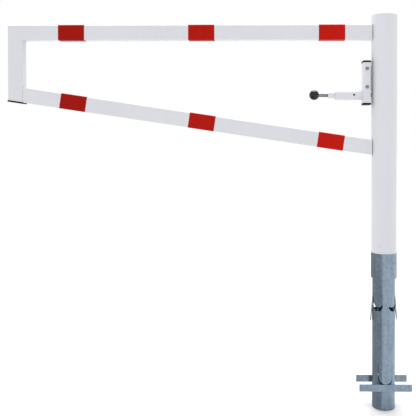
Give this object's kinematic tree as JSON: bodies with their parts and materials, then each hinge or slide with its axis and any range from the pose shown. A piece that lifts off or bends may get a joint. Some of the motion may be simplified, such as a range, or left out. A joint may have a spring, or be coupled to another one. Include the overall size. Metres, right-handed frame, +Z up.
{
  "type": "parking barrier gate",
  "caption": "Swinging barrier gate: a tube post turns on a galvanised standing tube set in concrete and carries a frame arm with red bands and a spring bolt latch.",
  "frame": {"origin": "on the axis of the swing, at the ground line, which is the collar's lower edge", "axes": "+Z up along the post, -X along the arm, -Y the front with the screw heads of the latch"},
  "size_m": [1.6052, 0.104, 1.56],
  "materials": {
    "white_paint": "white powder coat with a faint orange peel",
    "zinc": "hot-dip galvanised, weathered grey",
    "red_film": "red reflective film",
    "black_plastic": "moulded black polyethylene",
    "knob_plastic": "polished black phenolic",
    "bright_steel": "bright zinc plate",
    "pale_plastic": "off-white nylon",
    "cap_white": "white moulded plastic",
    "spring_steel": "oiled spring wire"
  },
  "bodies": {
    "ground_post": {"ground_tube": "zinc", "collar": "zinc", "thrust_ring": "pale_plastic", "front_anchor_bar": "zinc", "rear_anchor_bar": "zinc", "top_plug": "zinc", "retaining_washer": "bright_steel", "retaining_bolt": "bright_steel", "ground_welds": "zinc"},
    "gate": {"post_tube": "white_paint", "post_cap": "cap_white", "stop_ring": "white_paint", "lower_bush": "pale_plastic", "upper_bush": "pale_plastic", "upper_tube": "white_paint", "brace": "white_paint", "end_tube": "white_paint", "arm_end_cap": "black_plastic", "arm_welds": "white_paint", "latch_lug": "white_paint", "latch_box": "white_paint", "box_cap_top": "black_plastic", "box_cap_bottom": "black_plastic", "box_screws": "bright_steel", "box_nuts": "bright_steel", "box_washers": "bright_steel", "guide_tube": "white_paint", "guide_sleeve": "white_paint", "bolt_bush": "pale_plastic", "latch_spring": "spring_steel", "latch_welds": "white_paint", "band_upper_outer": "red_film", "band_upper_middle": "red_film", "band_upper_inner": "red_film", "band_lower_outer": "red_film", "band_lower_middle": "red_film", "band_lower_inner": "red_film"},
    "latch_bolt": {"lock_rod": "bright_steel", "spring_collar": "bright_steel", "roll_pin": "bright_steel", "ball_knob": "knob_plastic"}
  },
  "joints": [
    {"name": "gate_swing", "type": "hinge", "parent": "ground_post", "child": "gate", "pos_m": [0, 0, 0], "axis": [0, 0, 1], "continuous": true},
    {"name": "latch_slide", "type": "slide", "parent": "gate", "child": "latch_bolt", "axis": [1, 0, 0], "range_m": [0, 0.03]}
  ]
}
